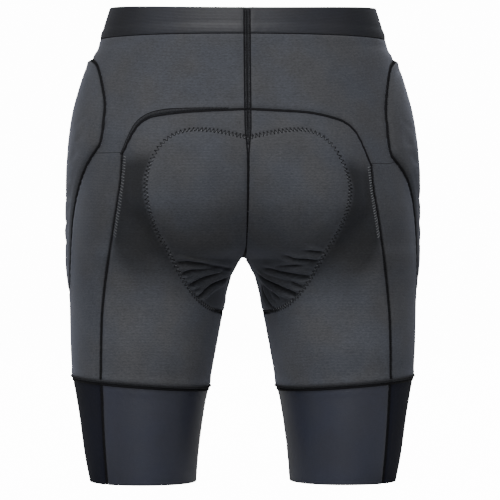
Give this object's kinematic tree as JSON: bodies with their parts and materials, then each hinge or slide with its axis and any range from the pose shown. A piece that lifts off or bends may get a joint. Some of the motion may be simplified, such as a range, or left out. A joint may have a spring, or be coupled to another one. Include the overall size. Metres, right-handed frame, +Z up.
{
  "type": "padded impact shorts",
  "caption": "Close-fitting mid-thigh shorts with stitched-in hip pads, a seat pad, a wide waistband and darker gripper cuffs.",
  "frame": {"origin": "on the plane of the hems, under the middle of the shorts' width and depth", "axes": "+Z up to the waist, the wearer faces -Y, and the wearer's left leg is at +X"},
  "size_m": [0.3718, 0.2389, 0.4935],
  "materials": {
    "main_knit": "matte charcoal knit",
    "pad_cover_knit": "matte charcoal knit over foam",
    "waistband_knit": "matte charcoal knit, folded",
    "cuff_knit": "smooth dark navy stretch knit, slight sheen",
    "elastic": "woven elastic",
    "mesh_lining": "fine mesh",
    "brushed_facing": "brushed microfibre",
    "label_satin": "blank satin tape",
    "foam": "closed-cell foam",
    "silicone": "satin silicone"
  },
  "bodies": {
    "root": {"care_label": "label_satin", "cuff_back_left": "cuff_knit", "cuff_back_right": "cuff_knit", "cuff_front_left": "cuff_knit", "cuff_front_right": "cuff_knit", "cuff_side_left": "cuff_knit", "cuff_side_right": "cuff_knit", "front_panel_left": "main_knit", "front_panel_right": "main_knit", "front_pouch": "main_knit", "gripper_left": "silicone", "gripper_right": "silicone", "hip_cover_left": "pad_cover_knit", "hip_cover_right": "pad_cover_knit", "hip_pad_left": "foam", "hip_pad_right": "foam", "hip_pocket_lining_left": "mesh_lining", "hip_pocket_lining_right": "mesh_lining", "pouch_lining": "mesh_lining", "seat_foam_left": "foam", "seat_foam_right": "foam", "seat_pad_facing": "brushed_facing", "seat_panel_left": "main_knit", "seat_panel_right": "main_knit", "side_panel_left": "main_knit", "side_panel_right": "main_knit", "waistband": "waistband_knit", "waistband_elastic": "elastic", "yoke_left": "main_knit", "yoke_right": "main_knit"}
  },
  "joints": []
}
